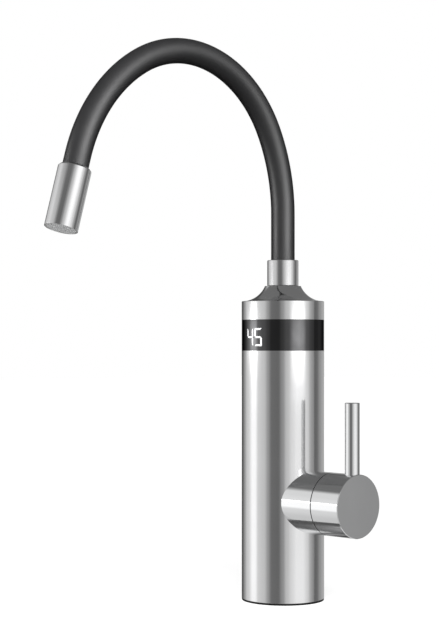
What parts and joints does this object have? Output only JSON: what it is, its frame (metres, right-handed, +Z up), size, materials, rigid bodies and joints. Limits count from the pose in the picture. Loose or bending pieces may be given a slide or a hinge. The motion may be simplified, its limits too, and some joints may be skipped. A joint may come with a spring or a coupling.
{
  "type": "instant water heater tap",
  "caption": "Electric instant water heater tap: round steel column with a display band, a side lever valve and a bendable black spout that ends in an aerator.",
  "frame": {"origin": "centre of the inlet thread in the plane of the base, under the column's axis", "axes": "+Z up along the column, the spout reaches towards -Y, the lever sits on +X"},
  "size_m": [0.1031, 0.2444, 0.3952],
  "materials": {
    "polished_steel": "satin polished",
    "chrome": "polished",
    "plain_steel": "plain",
    "screen_steel": "woven",
    "aluminium": "satin",
    "brass": "machined",
    "copper": "drawn",
    "spout_silicone": "satin",
    "liner_silicone": "matt",
    "seal_rubber": "matt",
    "black_plastic": "matt",
    "white_plastic": "matt",
    "display_lens": "high gloss",
    "display_digits": "backlit",
    "ceramic": "lapped",
    "circuit_board": "solder mask",
    "lead_insulation": "satin"
  },
  "bodies": {
    "tap_body": {"base_seal": "seal_rubber", "base_plate": "brass", "base_screws": "plain_steel", "inlet_fitting": "brass", "inlet_strainer": "plain_steel", "cable_gland": "black_plastic", "column_tube": "polished_steel", "flow_switch_body": "white_plastic", "flow_spring": "plain_steel", "reed_switch": "circuit_board", "inlet_pipe": "copper", "valve_body": "brass", "valve_socket": "chrome", "socket_ring": "black_plastic", "cartridge_body": "white_plastic", "cartridge_seals": "seal_rubber", "fixed_ceramic_disc": "ceramic", "cartridge_nut": "brass", "feed_pipe": "copper", "triac_heat_sink": "aluminium", "heater_flask": "plain_steel", "flask_lid": "plain_steel", "lid_seal": "seal_rubber", "heating_element": "copper", "element_pins": "brass", "heater_leads": "lead_insulation", "thermal_cutout": "brass", "water_sensor": "plain_steel", "flask_carrier": "white_plastic", "power_board": "circuit_board", "board_parts": "black_plastic", "board_screws": "plain_steel", "outlet_pipe": "copper", "bulkhead": "black_plastic", "seat_nut": "brass", "swivel_seat": "brass", "display_band": "display_lens", "display_digits": "display_digits", "display_module": "white_plastic", "display_board": "circuit_board", "display_bracket": "white_plastic", "display_cable": "lead_insulation", "top_cap": "polished_steel"},
    "flow_plunger": {"flow_plunger": "black_plastic"},
    "handle": {"handle_cap": "chrome", "lever_rod": "chrome", "handle_screw": "plain_steel", "cartridge_stem": "plain_steel", "moving_ceramic_disc": "ceramic"},
    "spout": {"spout_collar": "polished_steel", "spout_nipple": "plain_steel", "swivel_rings": "seal_rubber", "retaining_clip": "plain_steel", "spout_hose": "spout_silicone", "gooseneck_core": "plain_steel", "water_liner": "liner_silicone"},
    "spout_head": {"hose_end_fitting": "brass", "aerator_sleeve": "polished_steel", "aerator_body": "white_plastic", "aerator_screen": "screen_steel"}
  },
  "joints": [
    {"name": "handle_turn", "type": "hinge", "parent": "tap_body", "child": "handle", "pos_m": [0.06, 0, 0.0726], "axis": [1, 0, 0], "range_deg": [-90, 90]},
    {"name": "spout_swivel", "type": "hinge", "parent": "tap_body", "child": "spout", "pos_m": [0, 0, 0.228], "axis": [0, 0, 1], "continuous": true},
    {"name": "spout_flex", "type": "hinge", "parent": "spout", "child": "spout_head", "pos_m": [0, -0.09, 0.386], "axis": [1, 0, 0], "range_deg": [-35, 30], "deforming": ["spout_hose", "gooseneck_core", "water_liner"]},
    {"name": "plunger_lift", "type": "slide", "parent": "tap_body", "child": "flow_plunger", "axis": [0, 0, 1], "range_m": [0, 0.006], "stiffness_N_per_m": 20, "springref_m": -0.004, "deforming": ["flow_spring"]}
  ]
}
